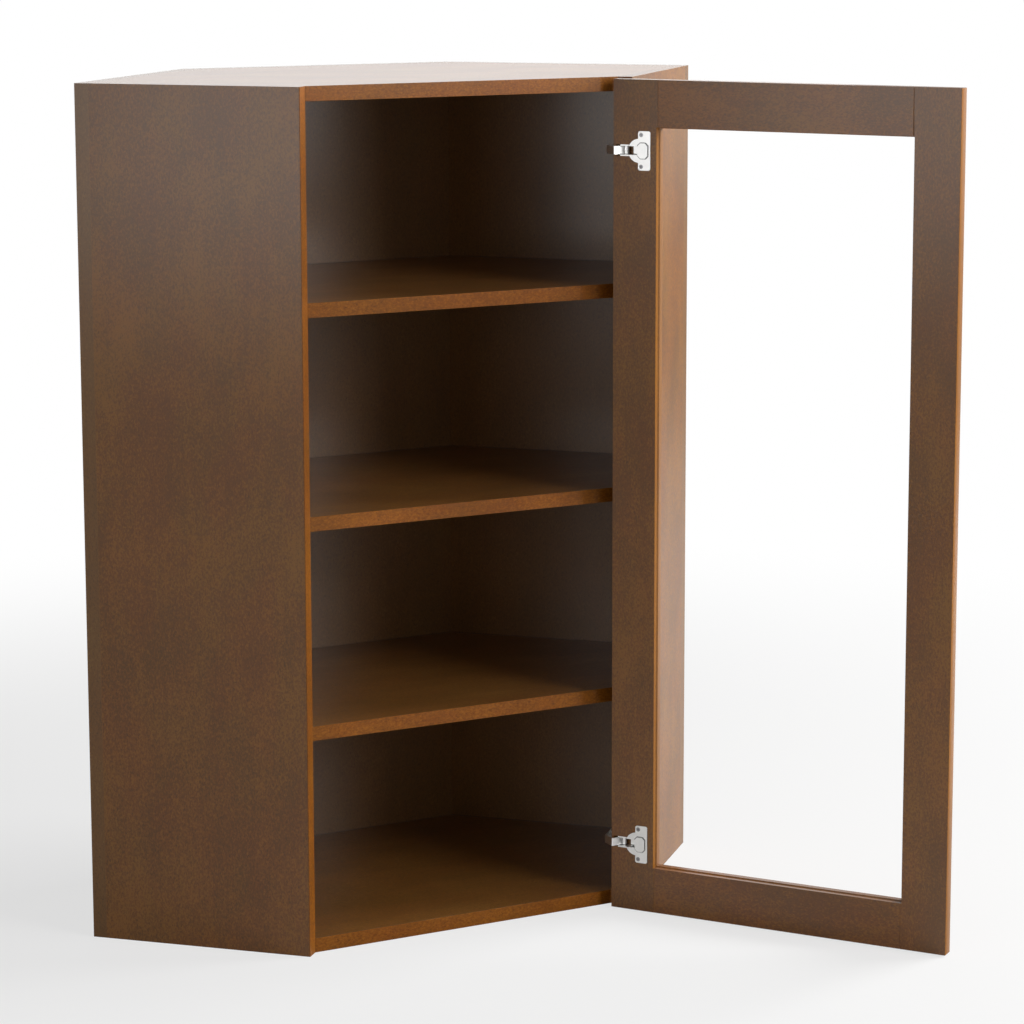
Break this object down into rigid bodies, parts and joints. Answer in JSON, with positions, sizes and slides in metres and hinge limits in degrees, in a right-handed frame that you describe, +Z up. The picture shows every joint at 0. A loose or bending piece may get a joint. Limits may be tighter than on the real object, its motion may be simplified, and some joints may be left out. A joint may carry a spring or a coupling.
{
  "type": "corner wall cabinet",
  "caption": "Tall diagonal corner wall cabinet with loose shelves and an open-framed door hung on the right by cup hinges.",
  "frame": {"origin": "middle of the carcass's underside, halfway between its front corners and its diagonal back", "axes": "+Z up, -Y out of the diagonal front, +X to the right seen from the front; the walls run at 45 degrees to X"},
  "size_m": [0.903, 0.8181, 1.0668],
  "materials": {
    "veneer_left": "satin lacquered walnut veneer",
    "veneer_right": "satin lacquered walnut veneer",
    "veneer_back": "satin lacquered walnut veneer",
    "veneer_deck": "satin lacquered walnut veneer",
    "edge_band": "satin edge strip",
    "door_stile": "satin lacquered hardwood",
    "door_rail": "satin lacquered hardwood",
    "beech": "bare beech",
    "nickel": "nickel plate",
    "screw_steel": "zinc plate",
    "pin_steel": "bright"
  },
  "bodies": {
    "cabinet": {"back_diagonal": "veneer_back", "back_left": "veneer_back", "back_right": "veneer_back", "back_screws": "screw_steel", "back_splines": "beech", "bottom_panel": "veneer_deck", "bottom_panel_band": "edge_band", "cam_bolts": "screw_steel", "cams": "screw_steel", "carcass_dowels": "beech", "lower_hinge_adjusting_screw": "screw_steel", "lower_hinge_arm": "nickel", "lower_hinge_fixing_screw": "screw_steel", "lower_hinge_plate": "nickel", "lower_hinge_plate_screws": "screw_steel", "shelf_lower": "veneer_deck", "shelf_lower_band": "edge_band", "shelf_lower_pegs": "pin_steel", "shelf_middle": "veneer_deck", "shelf_middle_band": "edge_band", "shelf_middle_pegs": "pin_steel", "shelf_upper": "veneer_deck", "shelf_upper_band": "edge_band", "shelf_upper_pegs": "pin_steel", "side_left": "veneer_left", "side_left_band": "edge_band", "side_right": "veneer_right", "side_right_band": "edge_band", "top_panel": "veneer_deck", "top_panel_band": "edge_band", "upper_hinge_adjusting_screw": "screw_steel", "upper_hinge_arm": "nickel", "upper_hinge_fixing_screw": "screw_steel", "upper_hinge_plate": "nickel", "upper_hinge_plate_screws": "screw_steel"},
    "door": {"door_bottom_rail": "door_rail", "door_free_stile": "door_stile", "door_hinge_stile": "door_stile", "door_top_rail": "door_rail", "lower_hinge_cup": "nickel", "lower_hinge_cup_screws": "screw_steel", "lower_hinge_pin": "pin_steel", "upper_hinge_cup": "nickel", "upper_hinge_cup_screws": "screw_steel", "upper_hinge_pin": "pin_steel"}
  },
  "joints": [
    {"name": "door_swing", "type": "hinge", "parent": "cabinet", "child": "door", "pos_m": [0.213, -0.23147, 0.5334], "axis": [0, 0, 1], "range_deg": [-125, 0]}
  ]
}
